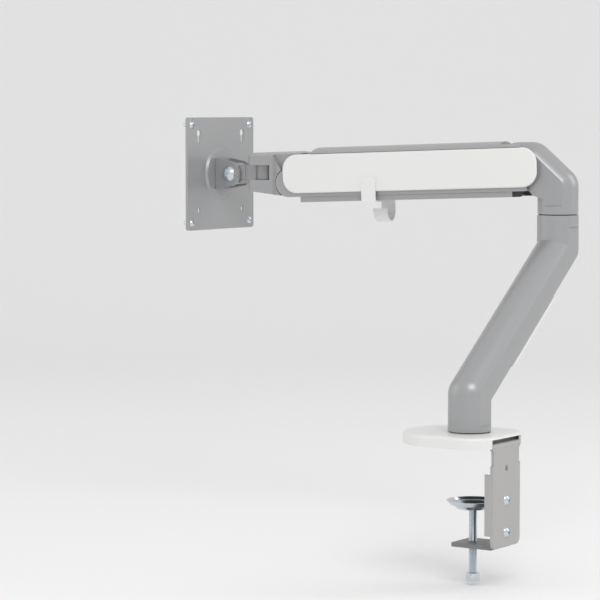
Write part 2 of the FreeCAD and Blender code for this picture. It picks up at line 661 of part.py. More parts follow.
def make_arm_shell():
    """The cast body: crowned roof, two cheeks and the rib that the spring leans on."""
    roof = crown_panel(ROOF_REAR, ROOF_FRONT, 0, ROOF_HALF)
    roof = roof.cut(block(ROOF_REAR - 1, ROOF_FRONT + 1, -ROOF_HALF - 1, ROOF_HALF + 1, 0, COVER_HIGH + SEAT_GAP))
    front = [e for e in roof.Edges if abs(e.BoundBox.XMin - ROOF_FRONT) < 0.01 and e.BoundBox.ZMax > CROWN_TOP - 0.1]
    roof = roof.makeFillet(4.5, front)
    cheek_top = COVER_HIGH + SEAT_GAP + 0.5
    outer = CHEEK_INNER + CHEEK_THICK
    body = roof
    for side in (-1, 1):
        y0 = min(side * CHEEK_INNER, side * outer)
        cheek = block(-13.0, ROOF_FRONT, y0, y0 + CHEEK_THICK, -CHEEK_END, CHEEK_TOP - 2)
        upper = block(ROOF_REAR, ROOF_FRONT, y0, y0 + CHEEK_THICK, CHEEK_TOP - 3, cheek_top)
        front_end = block(ROOF_FRONT - 1, LINK_LENGTH, y0, y0 + CHEEK_THICK, -CHEEK_END, CHEEK_END)
        nose = across(CHEEK_END, LINK_LENGTH, 0, y0, y0 + CHEEK_THICK)
        body = body.fuse([cheek, upper, front_end, nose])
    inside = crown_panel(ROOF_REAR - 1, ROOF_FRONT + 1, ROOF_THICK, CHEEK_INNER)
    body = body.cut(inside)
    rib = block(RIB_START, RIB_START + RIB_THICK, -BAR_INNER + 0.9, BAR_INNER - 0.9, 3.0, CROWN_TOP)
    rib = rib.common(along(CROWN_RADIUS - 1.0, 0, CROWN_TOP - CROWN_RADIUS, 0, 100))
    body = body.fuse(rib).cut(along(ROD_RADIUS + LOOSE_FIT, 0, ROD_Z, 0, 60))
    notch = KNUCKLE_FLAT + 0.6
    body = body.cut(block(ROOF_REAR - 1, NOTCH_END, -notch, notch, CHEEK_TOP - 4, CROWN_TOP + 1))
    for x in (0, LINK_LENGTH):
        body = body.cut(across(PIN_RADIUS, x, 0, -ROOF_HALF, ROOF_HALF))
    return body.removeSplitter()


# the eye rides at the mean height of the link pin over the swing of the arm
PIN_SAG = LINK_RISE * (1 - math.cos(math.radians(LIFT_SWING - abs(UPPER_PITCH))))
ROD_Z = LINK_RISE - PIN_SAG / 2
NOSE_REACH = LINK_RISE + HEAD_NOSE + 0.9
NOTCH_END = math.sqrt(NOSE_REACH ** 2 - (CROWN_TOP - ROOF_THICK) ** 2) + 2.5


def make_side_cover(side):
    inner = CHEEK_INNER + CHEEK_THICK
    panel = rounded_panel(COVER_REAR, COVER_FRONT, COVER_LOW, COVER_HIGH, COVER_CORNER, inner, ROOF_HALF + 0.6)
    face = [e for e in panel.Edges if e.BoundBox.YMin > ROOF_HALF + 0.59]
    panel = panel.makeFillet(COVER_EDGE, face)
    return panel if side > 0 else mirrored(panel)


def make_main_pin(x):
    reach = CHEEK_INNER + CHEEK_THICK
    return across(PIN_RADIUS, x, 0, -reach, reach)


def make_cable_tray():
    """The strip under the arm that holds the cables in; open where the knuckle passes."""
    tray = block(TRAY_REAR + TRAY_END, TRAY_FRONT, -TRAY_HALF, TRAY_HALF, TRAY_LOW, -CHEEK_END)
    inner = TRAY_HALF - TRAY_WALL
    tray = tray.cut(block(0, TRAY_FRONT - TRAY_WALL, -inner, inner, TRAY_LOW + TRAY_WALL, 0))
    notch = KNUCKLE_FLAT + 0.6
    return tray.cut(block(-10, TRAY_REAR + TRAY_END + 4.0, -notch, notch, TRAY_LOW - 1, 0))


def make_tray_end():
    """The black end piece: two side blocks joined to the cheeks, open in the middle."""
    x0, x1 = TRAY_REAR, TRAY_REAR + TRAY_END
    notch = KNUCKLE_FLAT + 0.6
    ends = []
    for side in (-1, 1):
        y0 = min(side * notch, side * TRAY_HALF)
        end = block(x0, x1, y0, y0 + TRAY_HALF - notch, TRAY_LOW, -CHEEK_END)
        corner = [e for e in end.Edges if abs(e.tangentAt(e.FirstParameter).y) > 0.9
                  and e.CenterOfMass.x < x0 + 0.01 and e.CenterOfMass.z < TRAY_LOW + 0.01]
        ends.append(end.makeFillet(1.5, corner))
    return ends


def make_cable_hook():
    """A saddle over both side covers with a J-shaped hook hanging under the arm."""
    x0, x1 = HOOK_START, HOOK_START + HOOK_WIDTH
    inner = ROOF_HALF + 0.6
    outer = inner + HOOK_SHEET
    web = TRAY_LOW - HOOK_SHEET
    near = block(x0, x1, inner, outer, web, HOOK_TAB_TOP)
    tab_edges = [e for e in near.Edges
                 if abs(e.tangentAt(e.FirstParameter).y) > 0.9 and e.CenterOfMass.z > HOOK_TAB_TOP - 0.01]
    near = near.makeFillet(HOOK_TAB_CORNER, tab_edges)
    across_web = block(x0, x1, -outer, outer, web, TRAY_LOW)
    bend = HOOK_DEPTH / 2 + HOOK_SHEET
    bend_y = -outer + bend
    bend_z = HOOK_LOW + bend
    back = block(x0, x1, -outer, -inner, bend_z, HOOK_TAB_TOP)
    bowl = along(bend, bend_y, bend_z, x0, x1).cut(along(bend - HOOK_SHEET, bend_y, bend_z, x0, x1))
    bowl = bowl.cut(block(x0, x1, -outer - 1, bend_y + bend + 1, bend_z, bend_z + bend + 1))
    lip_y = bend_y + bend
    lip = block(x0, x1, lip_y - HOOK_SHEET, lip_y, bend_z, HOOK_LIP)
    return near.fuse([across_web, back, bowl, lip]).removeSplitter()


# ---------------------------------------------------------------- link bars and spring

def make_link_bars():
    """Two flat bars that keep the fork upright while the arm rises."""
    bars = []
    for side in (-1, 1):
        y0 = min(side * BAR_INNER, side * (BAR_INNER + BAR_THICK))
        bar = capsule(LINK_X, LINK_Z, BAR_HALF + 0.01, LINK_X + LINK_LENGTH, LINK_Z, BAR_HALF, y0, y0 + BAR_THICK)
        for x in (LINK_X, LINK_X + LINK_LENGTH):
            bar = bar.cut(across(PIN_RADIUS + SLIDE_FIT, x, LINK_Z, y0 - 1, y0 + BAR_THICK + 1))
        bars.append(bar)
    return bars


def make_spring_eye():
    """The flat eye on the link pin; its hole is a little taller than the pin."""
    body = across(EYE_RADIUS, LINK_X, ROD_Z, -EYE_HALF, EYE_HALF)
    body = body.fuse(block(LINK_X, LINK_X + 20.0, -EYE_HALF, EYE_HALF, ROD_Z - 6.0, ROD_Z + 6.0)).removeSplitter()
    hole = PIN_RADIUS + 0.35
    tall = PIN_SAG / 2
    low = across(hole, LINK_X, ROD_Z - tall, -10, 10)
    high = across(hole, LINK_X, ROD_Z + tall, -10, 10)
    middle = block(LINK_X - hole, LINK_X + hole, -10, 10, ROD_Z - tall, ROD_Z + tall)
    body = body.cut(low.fuse([high, middle]))
    return body.cut(along(ROD_RADIUS, 0, ROD_Z, LINK_X + 12.0, LINK_X + 30))


def make_spring_rod():
    return along(ROD_RADIUS, 0, ROD_Z, LINK_X + 12.0, ROD_END)


SEAT_START = RIB_START + RIB_THICK
COIL_START = SEAT_START + 3.0
COIL_END = COIL_START + SPRING_LENGTH


def make_spring_seat():
    seat = along(SPRING_RADIUS + 1.0, 0, ROD_Z, SEAT_START, COIL_START)
    return seat.cut(along(ROD_RADIUS + LOOSE_FIT, 0, ROD_Z, 0, 100))


def make_spring():
    """A compression coil of round wire between the seat and the cup."""
    wire = SPRING_WIRE / 2
    radius = SPRING_RADIUS - wire
    travel = SPRING_LENGTH - SPRING_WIRE - 1.0
    helix = Part.makeHelix(travel / SPRING_TURNS, travel, radius)
    section = Part.Wire(Part.makeCircle(wire, V(radius, 0, 0), Y_AXIS))
    coil = Part.Wire(helix.Edges).makePipeShell([section], True, True)
    return moved(turned(coil, Y_AXIS, 90), COIL_START + wire + 0.5, 0, ROD_Z)


def make_spring_cup():
    cup = along(SPRING_RADIUS + 1.0, 0, ROD_Z, COIL_END, COIL_END + CUP_THICK)
    return cup.cut(along(ROD_RADIUS + LOOSE_FIT, 0, ROD_Z, 0, ROD_END))


def make_tension_nut():
    """A round nut with six holes for a pin wrench."""
    x0 = COIL_END + CUP_THICK
    nut = along(NUT_RADIUS, 0, ROD_Z, x0, x0 + NUT_THICK)
    nut = nut.cut(along(ROD_RADIUS + SLIDE_FIT, 0, ROD_Z, 0, ROD_END + 1))
    centre = V(0, 0, ROD_Z)
    for k in range(6):
        hole = upright(2.0, x0 + NUT_THICK / 2, 0, ROD_Z + NUT_RADIUS - 4.0, ROD_Z + NUT_RADIUS + 1)
        nut = nut.cut(turned(hole, X_AXIS, 60 * k, centre))
    return nut


# ---------------------------------------------------------------- front fork (its frame: front main pivot at the origin)

def make_yoke():
    crown = YOKE_CROWN + 1.0
    core = block(-12.0, SLOT_START, -KNUCKLE_FLAT, KNUCKLE_FLAT, -11.0, crown)
    core = core.common(across(LINK_RISE + 15.3, 0, 0, -30, 30).fuse(block(0, SLOT_START, -30, 30, -11, crown)))
    core = core.common(across(LINK_RISE + 17.0, 0, 0, -30, 30))
    body_side = side_panel([(0, YOKE_LOW_REAR - 0.5), (FORK_START, YOKE_LOW_REAR + 1.2), (FORK_START, crown), (0, crown)],
                           -YOKE_HALF, YOKE_HALF)
    reach = 60.0
    rise = reach * math.tan(math.radians(YOKE_WEDGE))
    body_side = body_side.common(side_panel([(0, 0), (reach, -rise), (reach, rise)], -YOKE_HALF, YOKE_HALF))
    body_side = body_side.cut(across(CHEEK_END + 1.0, 0, 0, -YOKE_HALF, YOKE_HALF))
    taper = Part.Face(Part.makePolygon([
        V(0, -YOKE_HALF, -50), V(FORK_STEP, -YOKE_HALF, -50), V(FORK_START, -FORK_HALF, -50),
        V(FORK_START, FORK_HALF, -50), V(FORK_STEP, YOKE_HALF, -50), V(0, YOKE_HALF, -50),
        V(0, -YOKE_HALF, -50)])).extrude(V(0, 0, 100))
    body_side = body_side.common(taper)
    fork = side_panel([(FORK_START - 1, YOKE_LOW_REAR + 1.2), (FORK_TIP, YOKE_LOW_FRONT), (FORK_TIP, crown),
                       (FORK_START - 1, crown)], -FORK_HALF, FORK_HALF)
    corners = [e for e in fork.Edges if abs(e.tangentAt(e.FirstParameter).z) > 0.9 and e.CenterOfMass.x > FORK_TIP - 1]
    fork = fork.makeFillet(4.0, corners)
    link = block(CHEEK_END + 1.0, FORK_START, -KNUCKLE_FLAT, KNUCKLE_FLAT, YOKE_LOW_REAR + 3, crown)
    body = core.fuse([body_side, fork, link])
    round_top = turned(along(CROWN_RADIUS, 0, YOKE_CROWN - CROWN_RADIUS, -60, 120), Y_AXIS, -UPPER_PITCH)
    body = body.common(round_top)
    body = body.cut(block(SLOT_START, FORK_TIP + 1, -30, 30, SLOT_LOW, SLOT_HIGH))
    body = body.cut(upright(SWIVEL_PIN_RADIUS, SWIVEL_REACH, 0, YOKE_LOW_REAR, SLOT_HIGH + 6.0))
    body = body.cut(across(PIN_RADIUS + SLIDE_FIT, 0, 0, -30, 30))
    return body.cut(across(PIN_RADIUS, 0, LINK_RISE, -30, 30)).removeSplitter()


def make_front_link_pin():
    """Pressed in the fork; the open pivot of the linkage, so the bars keep a clearance here."""
    reach = BAR_INNER + BAR_THICK
    return across(PIN_RADIUS - OPEN_PIVOT, 0, LINK_RISE, -reach, reach).fuse(
        across(PIN_RADIUS, 0, LINK_RISE, -KNUCKLE_FLAT, KNUCKLE_FLAT)).removeSplitter()


def make_swivel_pin():
    return upright(SWIVEL_PIN_RADIUS, SWIVEL_REACH, 0, YOKE_LOW_FRONT - 0.5, SLOT_HIGH + 6.0)


# ---------------------------------------------------------------- tilting head (its frame: swivel pin at the origin,
# z = 0 in the middle of the slot, +X toward the screen)

BARREL_HALF = (SLOT_HIGH - SLOT_LOW) / 2 - BARREL_GAP


def on_head(shape):
    return moved(turned(shape, Z_AXIS, -90.0), SWIVEL_X, SWIVEL_Y, SLOT_MIDDLE)


def make_swivel_link():
    barrel = upright(BARREL_RADIUS, 0, 0, -BARREL_HALF, BARREL_HALF)
    neck = block(0, HEAD_REACH, -TILT_HALF, TILT_HALF, -BARREL_HALF, BARREL_HALF)
    knuckle = across(TILT_RADIUS, HEAD_REACH, -TILT_DROP, -TILT_HALF, TILT_HALF)
    groove = block(18.0, 19.0, -TILT_HALF - 1, -TILT_HALF + 0.5, -BARREL_HALF - 1, BARREL_HALF + 1)
    lug = side_panel([(LUG_START, -BARREL_HALF), (LUG_START + 2.5, -BARREL_HALF - LUG_DROP),
                      (LUG_START + 7.0, -BARREL_HALF - 2.0), (LUG_START + 10.0, -BARREL_HALF)],
                     -TILT_HALF + 1.5, TILT_HALF - 1.5)
    body = barrel.fuse([neck, knuckle, lug]).cut(groove).cut(mirrored(groove))
    body = body.cut(upright(SWIVEL_PIN_RADIUS + BUSH_WALL / 2 + SLIDE_FIT, 0, 0, -20, 20))
    return body.cut(across(TILT_BOLT_RADIUS + SLIDE_FIT, HEAD_REACH, -TILT_DROP, -20, 20)).removeSplitter()


def make_swivel_bush():
    inner = SWIVEL_PIN_RADIUS + SLIDE_FIT
    return ring(inner + BUSH_WALL / 2, inner, 0, 0, -BARREL_HALF, BARREL_HALF)


EAR_INNER = TILT_HALF + EAR_GAP
EAR_OUTER = EAR_INNER + EAR_THICK
WEB_X = HEAD_REACH + EAR_LENGTH
HUB_END = WEB_X + WEB_THICK


def make_tilt_bracket():
    """A U of thick sheet: two ears with round noses and the web that the plate turns on."""
    z = -TILT_DROP
    nose = across(EAR_NOSE, HEAD_REACH, z, -EAR_OUTER, EAR_OUTER)
    wings = side_panel([(HEAD_REACH, z - EAR_NOSE), (HEAD_REACH, z + EAR_NOSE), (HUB_END, z + EAR_ROOT_HALF),
                        (HUB_END, z - EAR_ROOT_HALF)], -EAR_OUTER, EAR_OUTER)
    body = nose.fuse(wings)
    hollow = block(HEAD_REACH - 30, WEB_X, -EAR_INNER, EAR_INNER, z - 30, z + 30)
    body = body.cut(hollow)
    body = body.cut(across(TILT_BOLT_RADIUS, HEAD_REACH, z, -20, 20))
    return body.cut(along(HUB_BOLT_RADIUS, 0, z, WEB_X - 1, HUB_END + 1)).removeSplitter()


def make_tilt_washers():
    """Thin friction discs between the ears and the tilting block."""
    washers = []
    for side in (-1, 1):
        y0 = min(side * TILT_HALF, side * EAR_INNER)
        washers.append(cross_ring(TILT_RADIUS - 1.5, TILT_BOLT_RADIUS, HEAD_REACH, -TILT_DROP,
                                  y0 + 0.05, y0 + EAR_GAP - 0.05))
    return washers


def make_tilt_bolt():
    bolt = button_screw(TILT_BOLT_RADIUS, TILT_HEAD_RADIUS, 2 * EAR_OUTER + 4.6)
    return moved(turned(bolt, X_AXIS, -90), HEAD_REACH, EAR_OUTER, -TILT_DROP)


def make_tilt_nut():
    nut = hex_bar(13.0, 0, 4.6).cut(upright(TILT_BOLT_RADIUS, 0, 0, -1, 6))
    return moved(turned(nut, X_AXIS, 90), HEAD_REACH, -EAR_OUTER, -TILT_DROP)


PLATE_REAR = HUB_END + 0.3
PLATE_FRONT = PLATE_REAR + PLATE_THICK


def drop_to_tilt(shape):
    return moved(shape, 0, 0, -TILT_DROP)


def screen_slot(radius, y, z_low, z_high):
    """A round-ended vertical slot through the screen plate."""
    x0, x1 = PLATE_REAR - 1, PLATE_FRONT + 1
    middle = block(x0, x1, y - radius, y + radius, z_low, z_high)
    return middle.fuse([along(radius, y, z_low, x0, x1), along(radius, y, z_high, x0, x1)])


def make_vesa_plate():
    plate = block(PLATE_REAR + BOSS_RISE, PLATE_FRONT + BOSS_RISE, -PLATE_HALF, PLATE_HALF, -PLATE_HALF, PLATE_HALF)
    corners = [e for e in plate.Edges if abs(e.tangentAt(e.FirstParameter).x) > 0.9]
    plate = plate.makeFillet(PLATE_CORNER, corners)
    boss = Part.makeCone(BOSS_RADIUS - BOSS_RISE, BOSS_RADIUS, BOSS_RISE, V(PLATE_REAR, 0, 0), X_AXIS)
    plate = plate.fuse(boss).removeSplitter()
    back = Part.makeCone(BOSS_INNER - BOSS_RISE, BOSS_INNER, BOSS_RISE, V(PLATE_FRONT, 0, 0), X_AXIS)
    plate = plate.cut(back).cut(along(HUB_RADIUS / 2 + SLIDE_FIT, 0, 0, PLATE_REAR - 1, PLATE_FRONT + 3))
    large, small = VESA_LARGE / 2, VESA_SMALL / 2
    for y in (-large, large):
        plate = plate.cut(moved(screen_slot(M4, y, large, PLATE_HALF + 5), BOSS_RISE, 0, 0))
        plate = plate.cut(moved(along(M4, y, -large, PLATE_REAR - 1, PLATE_FRONT + 1), BOSS_RISE, 0, 0))
    for y in (-small, small):
        key = screen_slot(M4 + 0.3, y, small - 4.0, small + 1.0).fuse(
            along(M4 + 2.0, y, small + 4.0, PLATE_REAR - 1, PLATE_FRONT + 1))
        plate = plate.cut(moved(key, BOSS_RISE, 0, 0))
        plate = plate.cut(moved(screen_slot(M4 + 0.3, y, -small - 1.0, -small + 1.0), BOSS_RISE, 0, 0))
    return drop_to_tilt(plate)


def make_vesa_screws():
    screws = []
    half = VESA_LARGE / 2
    for y in (-half, half):
        for z in (-half, half):
            screw = button_screw(M4, M4_HEAD, PLATE_THICK + STUD_LENGTH)
            screw = screw.cut(ring(M4 + 1, M4_SHANK, 0, 0, -PLATE_THICK, 0))
            screw = turned(screw, Y_AXIS, -90)
            screws.append(drop_to_tilt(moved(screw, PLATE_REAR + BOSS_RISE, y, z)))
    return screws


def make_hub_bolt():
    """The bolt that the screen plate turns on, with its broad flange in front of the plate."""
    shank = along(HUB_BOLT_RADIUS, 0, 0, WEB_X - 1.5, HUB_END)
    journal = along(HUB_RADIUS / 2, 0, 0, HUB_END, PLATE_FRONT + 0.1)
    flange = along(HUB_RADIUS, 0, 0, PLATE_FRONT + 0.1, PLATE_FRONT + BOSS_RISE)
    nut = along(HUB_RADIUS / 2 + 1.0, 0, 0, WEB_X - 2.5, WEB_X)
    return drop_to_tilt(shank.fuse([journal, flange, nut]).removeSplitter())


def make_hub_washer():
    """A thin friction washer between the bracket and the screen plate."""
    washer = along(13.0, 0, 0, HUB_END, PLATE_REAR).cut(along(HUB_RADIUS / 2, 0, 0, HUB_END - 1, PLATE_REAR + 1))
    return drop_to_tilt(washer)


# ---------------------------------------------------------------- write the pieces

save("base_cover", make_base_cover())
save("desk_pad", make_desk_pad())
save("base_plate", make_base_plate())
save("base_post", make_post())
save("thrust_washer", make_thrust_washer())
save("clamp_bracket", make_clamp_bracket())
save("plate_rivets", *make_plate_screws())
save("jaw_bracket", make_jaw_bracket())
save("jaw_screws", *make_jaw_screws())
save("jaw_nuts", *make_jaw_nuts())
save("clamp_dish", make_clamp_dish())
save("clamp_screw", make_clamp_screw())
save("lower_arm", on_lower_arm(make_lower_arm()))
save("cable_cover", on_lower_arm(make_cable_cover()))
save("base_bushes", *[on_lower_arm(bush) for bush in make_base_bushes()])
save("stop_screw", on_lower_arm(make_stop_screw()))
save("elbow_bush", on_lower_arm(make_elbow_bush()))
save("elbow_washer", on_lower_arm(make_elbow_washer()))
save("knuckle", on_knuckle(make_knuckle()))
save("elbow_spigot", on_knuckle(make_elbow_spigot()))
save("rear_link_pin", on_knuckle(make_rear_link_pin()))
save("arm_shell", on_upper_arm(make_arm_shell()))
save("left_side_cover", on_upper_arm(make_side_cover(1)))
save("right_side_cover", on_upper_arm(make_side_cover(-1)))
save("rear_main_pin", on_upper_arm(make_main_pin(0)))
save("front_main_pin", on_upper_arm(make_main_pin(LINK_LENGTH)))
save("cable_tray", on_upper_arm(make_cable_tray()))
save("tray_end", *[on_upper_arm(end) for end in make_tray_end()])
save("cable_hook", on_upper_arm(make_cable_hook()))
save("link_bars", *[on_upper_arm(bar) for bar in make_link_bars()])
save("spring_eye", on_upper_arm(make_spring_eye()))
save("spring_rod", on_upper_arm(make_spring_rod()))
save("spring_seat", on_upper_arm(make_spring_seat()))
save("spring", on_upper_arm(make_spring()))
save("spring_cup", on_upper_arm(make_spring_cup()))
save("tension_nut", on_upper_arm(make_tension_nut()))
save("yoke", on_yoke(make_yoke()))
save("front_link_pin", on_yoke(make_front_link_pin()))
save("swivel_pin", on_yoke(make_swivel_pin()))
save("swivel_link", on_head(make_swivel_link()))
save("swivel_bush", on_head(make_swivel_bush()))
save("tilt_bracket", on_head(make_tilt_bracket()))
save("tilt_washers", *[on_head(washer) for washer in make_tilt_washers()])
save("tilt_bolt", on_head(make_tilt_bolt()))
save("tilt_nut", on_head(make_tilt_nut()))
save("hub_washer", on_head(make_hub_washer()))
save("hub_bolt", on_head(make_hub_bolt()))
save("vesa_plate", on_head(make_vesa_plate()))
save("vesa_screws", *[on_head(screw) for screw in make_vesa_screws()])
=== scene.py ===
# %% [markdown]
# # A desk-clamp monitor arm
# The shapes of this arm come from its engineering model, which already has every
# piece in place. What is left for us is how it looks: the camera, the paint, the
# plastic, the plated steel and the light. We start by loading those pieces.

# %% Load the pieces
import json
import math
import bmesh
import bpy
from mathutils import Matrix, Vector


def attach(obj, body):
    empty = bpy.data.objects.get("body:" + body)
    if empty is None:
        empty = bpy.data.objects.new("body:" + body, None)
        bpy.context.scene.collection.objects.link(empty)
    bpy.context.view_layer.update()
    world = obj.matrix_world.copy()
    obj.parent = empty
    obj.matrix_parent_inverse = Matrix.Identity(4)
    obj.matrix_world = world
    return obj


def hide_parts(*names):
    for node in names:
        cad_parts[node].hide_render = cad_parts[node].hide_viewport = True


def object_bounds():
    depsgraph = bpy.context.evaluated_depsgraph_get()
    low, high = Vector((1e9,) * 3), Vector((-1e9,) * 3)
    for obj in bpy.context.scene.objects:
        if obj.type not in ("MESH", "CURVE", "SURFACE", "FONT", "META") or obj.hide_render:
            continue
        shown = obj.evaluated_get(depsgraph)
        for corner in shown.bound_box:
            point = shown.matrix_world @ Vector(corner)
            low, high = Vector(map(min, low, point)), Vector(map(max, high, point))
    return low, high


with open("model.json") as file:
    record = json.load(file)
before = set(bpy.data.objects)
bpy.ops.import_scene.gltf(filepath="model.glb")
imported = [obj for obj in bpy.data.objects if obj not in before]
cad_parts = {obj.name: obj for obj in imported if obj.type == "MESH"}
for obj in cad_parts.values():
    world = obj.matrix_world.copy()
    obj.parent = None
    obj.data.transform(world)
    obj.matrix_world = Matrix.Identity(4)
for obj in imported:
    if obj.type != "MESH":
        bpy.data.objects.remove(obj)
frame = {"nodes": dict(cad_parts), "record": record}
nodes = frame["nodes"]
cad_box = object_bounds()
print("pieces:", len(nodes))

# %% [markdown]
# ## The camera
# A long lens from far away keeps upright edges nearly parallel, as in a catalogue
# picture. The camera is placed by a point and a heading, and dips a little so that
# the arm fills the frame. A real camera could be levelled and shifted instead, but
# with such a long lens the two look nearly alike, and no shift is simpler.

# %% Place the camera
CAMERA_PLACE = Vector((2.1235, 1.2660, 0.3148))
CAMERA_HEADING = Vector((-0.824, -0.566, 0.0)).normalized()
CAMERA_DIP = math.radians(4.17)
LENS_LENGTH = 159.0        # millimetres, like the width of the sensor
SENSOR_WIDTH = 36.0
SIGHT_END = 50.0           # metres

camera_data = bpy.data.cameras.new("studio_camera")
camera_data.lens = LENS_LENGTH
camera_data.sensor_width = SENSOR_WIDTH
camera_data.clip_end = SIGHT_END
camera = bpy.data.objects.new("studio_camera", camera_data)
bpy.context.scene.collection.objects.link(camera)
look = CAMERA_HEADING * math.cos(CAMERA_DIP) - Vector((0, 0, math.sin(CAMERA_DIP)))
camera.location = CAMERA_PLACE
camera.rotation_euler = look.to_track_quat("-Z", "Y").to_euler()
bpy.context.scene.camera = camera
print("camera distance:", round(CAMERA_PLACE.length, 3), "m")

# %% [markdown]
# ## A helper for finishes
# Every finish here is one Principled shader with a fine noise that moves the surface
# normal a little. Paint has a soft orange-peel texture and moulded plastic a finer
# one. Noise in object coordinates sticks to the piece when the arm moves.

# %% Make a finish
COAT_ROUGHNESS = 0.25
GRAIN_DETAIL = 2.0
GRAIN_HEIGHT = 0.0005      # metres, before the depth of each finish scales it


def make_finish(name, colour, roughness, metallic=0.0, grain=900.0, grain_depth=0.02,
                coat=0.0):
    """A painted, moulded or plated surface with a fine grain."""
    finish = bpy.data.materials.new(name)
    finish.use_nodes = True
    tree = finish.node_tree
    shader = tree.nodes["Principled BSDF"]
    shader.inputs["Base Color"].default_value = (*colour, 1.0)
    shader.inputs["Roughness"].default_value = roughness
    shader.inputs["Metallic"].default_value = metallic
    shader.inputs["Coat Weight"].default_value = coat
    shader.inputs["Coat Roughness"].default_value = COAT_ROUGHNESS
    place = tree.nodes.new("ShaderNodeTexCoord")
    noise = tree.nodes.new("ShaderNodeTexNoise")
    noise.inputs["Scale"].default_value = grain
    noise.inputs["Detail"].default_value = GRAIN_DETAIL
    bump = tree.nodes.new("ShaderNodeBump")
    bump.inputs["Strength"].default_value = grain_depth
    bump.inputs["Distance"].default_value = GRAIN_HEIGHT
    tree.links.new(place.outputs["Object"], noise.inputs["Vector"])
    tree.links.new(noise.outputs["Fac"], bump.inputs["Height"])
    tree.links.new(bump.outputs["Normal"], shader.inputs["Normal"])
    return finish


print("grain height:", GRAIN_HEIGHT * 1000, "mm at full depth")

# %% [markdown]
# ## The finishes
# The castings have a silver-grey satin paint with metal flake, so they are partly
# metallic and their highlights stay soft. The covers are white moulded plastic. The
# clamp is bent steel with a coarser powder coat, and its screws are bright zinc
# plate, which is slightly blue.

# %% Mix the finishes
POWDER_COAT = {"grain": 700.0, "grain_depth": 0.06}

finishes = {
    "white_plastic": make_finish("white_plastic", (0.76, 0.76, 0.752), 0.34,
                                 grain_depth=0.015),
    "cast_grey": make_finish("cast_grey", (0.36, 0.362, 0.368), 0.34, 0.35,
                             grain_depth=0.05, coat=0.15),
    "tray_grey": make_finish("tray_grey", (0.33, 0.33, 0.335), 0.45, 0.1),
    "bracket_grey": make_finish("bracket_grey", (0.42, 0.415, 0.41), 0.46, 0.25,
                                **POWDER_COAT),
    "bracket_dark": make_finish("bracket_dark", (0.2, 0.195, 0.19), 0.45, 0.25,
                                **POWDER_COAT),
    "zinc_steel": make_finish("zinc_steel", (0.62, 0.67, 0.72), 0.22, 1.0,
                              grain_depth=0.01),
    "pin_steel": make_finish("pin_steel", (0.55, 0.55, 0.56), 0.3, 1.0,
                             grain_depth=0.01),
    "black_plastic": make_finish("black_plastic", (0.02, 0.02, 0.02), 0.5),
    "rubber": make_finish("rubber", (0.035, 0.035, 0.035), 0.8, grain_depth=0.1),
}
print("finishes:", ", ".join(finishes))

# %% [markdown]
# ## Paint the pieces
# The record says which finish each piece takes, so a loop can paint them all. Their
# meshes stay as the engineering model made them. Only the clamp screw gets a new
# shape, further down.

# %% Paint every piece
for row in frame["record"]["subparts"]:
    piece = nodes[row["node"]]
    piece.data.materials.clear()
    piece.data.materials.append(finishes[row["material_slot"]])

# %% [markdown]
# ## A helper for round pieces
# The clamp screw is round wherever it isn't threaded, and nearly round where it is.
# So each of its pieces can be a stack of rings around one axis, with a skin of
# four-sided faces between the rings and a lid on each end.

# %% Skin a stack of rings
SCREW_AXIS = (0.0, 0.0043)
POINTS_PER_TURN = 32


def screw_point(radius, turn, height):
    """A point at this distance and angle around the screw's axis."""
    x = SCREW_AXIS[0] + radius * math.cos(turn)
    y = SCREW_AXIS[1] + radius * math.sin(turn)
    return (x, y, height)


def skin_rings(name, rings):
    """A closed piece from rings that all have the same number of points."""
    mesh = bmesh.new()
    loops = [[mesh.verts.new(point) for point in ring] for ring in rings]
    for lower, upper in zip(loops, loops[1:]):
        for j in range(len(lower)):
            after = (j + 1) % len(lower)
            mesh.faces.new((lower[j], lower[after], upper[after], upper[j]))
    mesh.faces.new(tuple(reversed(loops[0])))
    mesh.faces.new(tuple(loops[-1]))
    skin = bpy.data.meshes.new(name)
    mesh.to_mesh(skin)
    mesh.free()
    piece = bpy.data.objects.new(name, skin)
    bpy.context.scene.collection.objects.link(piece)
    return piece


print("points in a ring:", POINTS_PER_TURN)

# %% [markdown]
# ## The thread of the clamp screw
# The engineering model has a plain cylinder where the real screw has an M8 thread,
# and a thread is what the eye looks for there. The radius of each point follows the
# helix, so crest, flank and root wind round the rod. The crest keeps the outer
# diameter of the screw, so that it still fits the space it had.

# %% Cut the thread
THREAD_PITCH = 0.00125
CREST_RADIUS = 0.00398
ROOT_RADIUS = 0.0034
RINGS_PER_TURN = 8
FLANK_SLOPE = 1.25         # above one, so that the crest has a narrow flat
HEAD_LENGTH = 0.008
SCREW_END = cad_box[0][2]
HEAD_TOP = SCREW_END + HEAD_LENGTH
SHANK_TOP = -0.0609


def cut_thread(name, low, high):
    """A closed threaded rod: rings of points whose radius follows the helix."""
    ring_count = int((high - low) / THREAD_PITCH * RINGS_PER_TURN)
    rings = []
    for k in range(ring_count + 1):
        height = low + (high - low) * k / ring_count
        ring = []
        for j in range(POINTS_PER_TURN):
            phase = (height / THREAD_PITCH - j / POINTS_PER_TURN) % 1.0
            rise = min(1.0, FLANK_SLOPE * abs(2 * phase - 1))
            radius = ROOT_RADIUS + (CREST_RADIUS - ROOT_RADIUS) * rise
            ring.append(screw_point(radius, 2 * math.pi * j / POINTS_PER_TURN, height))
        rings.append(ring)
    return skin_rings(name, rings)


thread = cut_thread("clamp_screw_thread", HEAD_TOP, SHANK_TOP)
print("thread turns:", round((SHANK_TOP - HEAD_TOP) / THREAD_PITCH, 1))

# %% [markdown]
# ## The head and the rivet of the clamp screw
# The screw has a round head below, and above it a thin rivet that holds the dish. A
# lathe would turn both, so here a profile of radius and height does the same work.

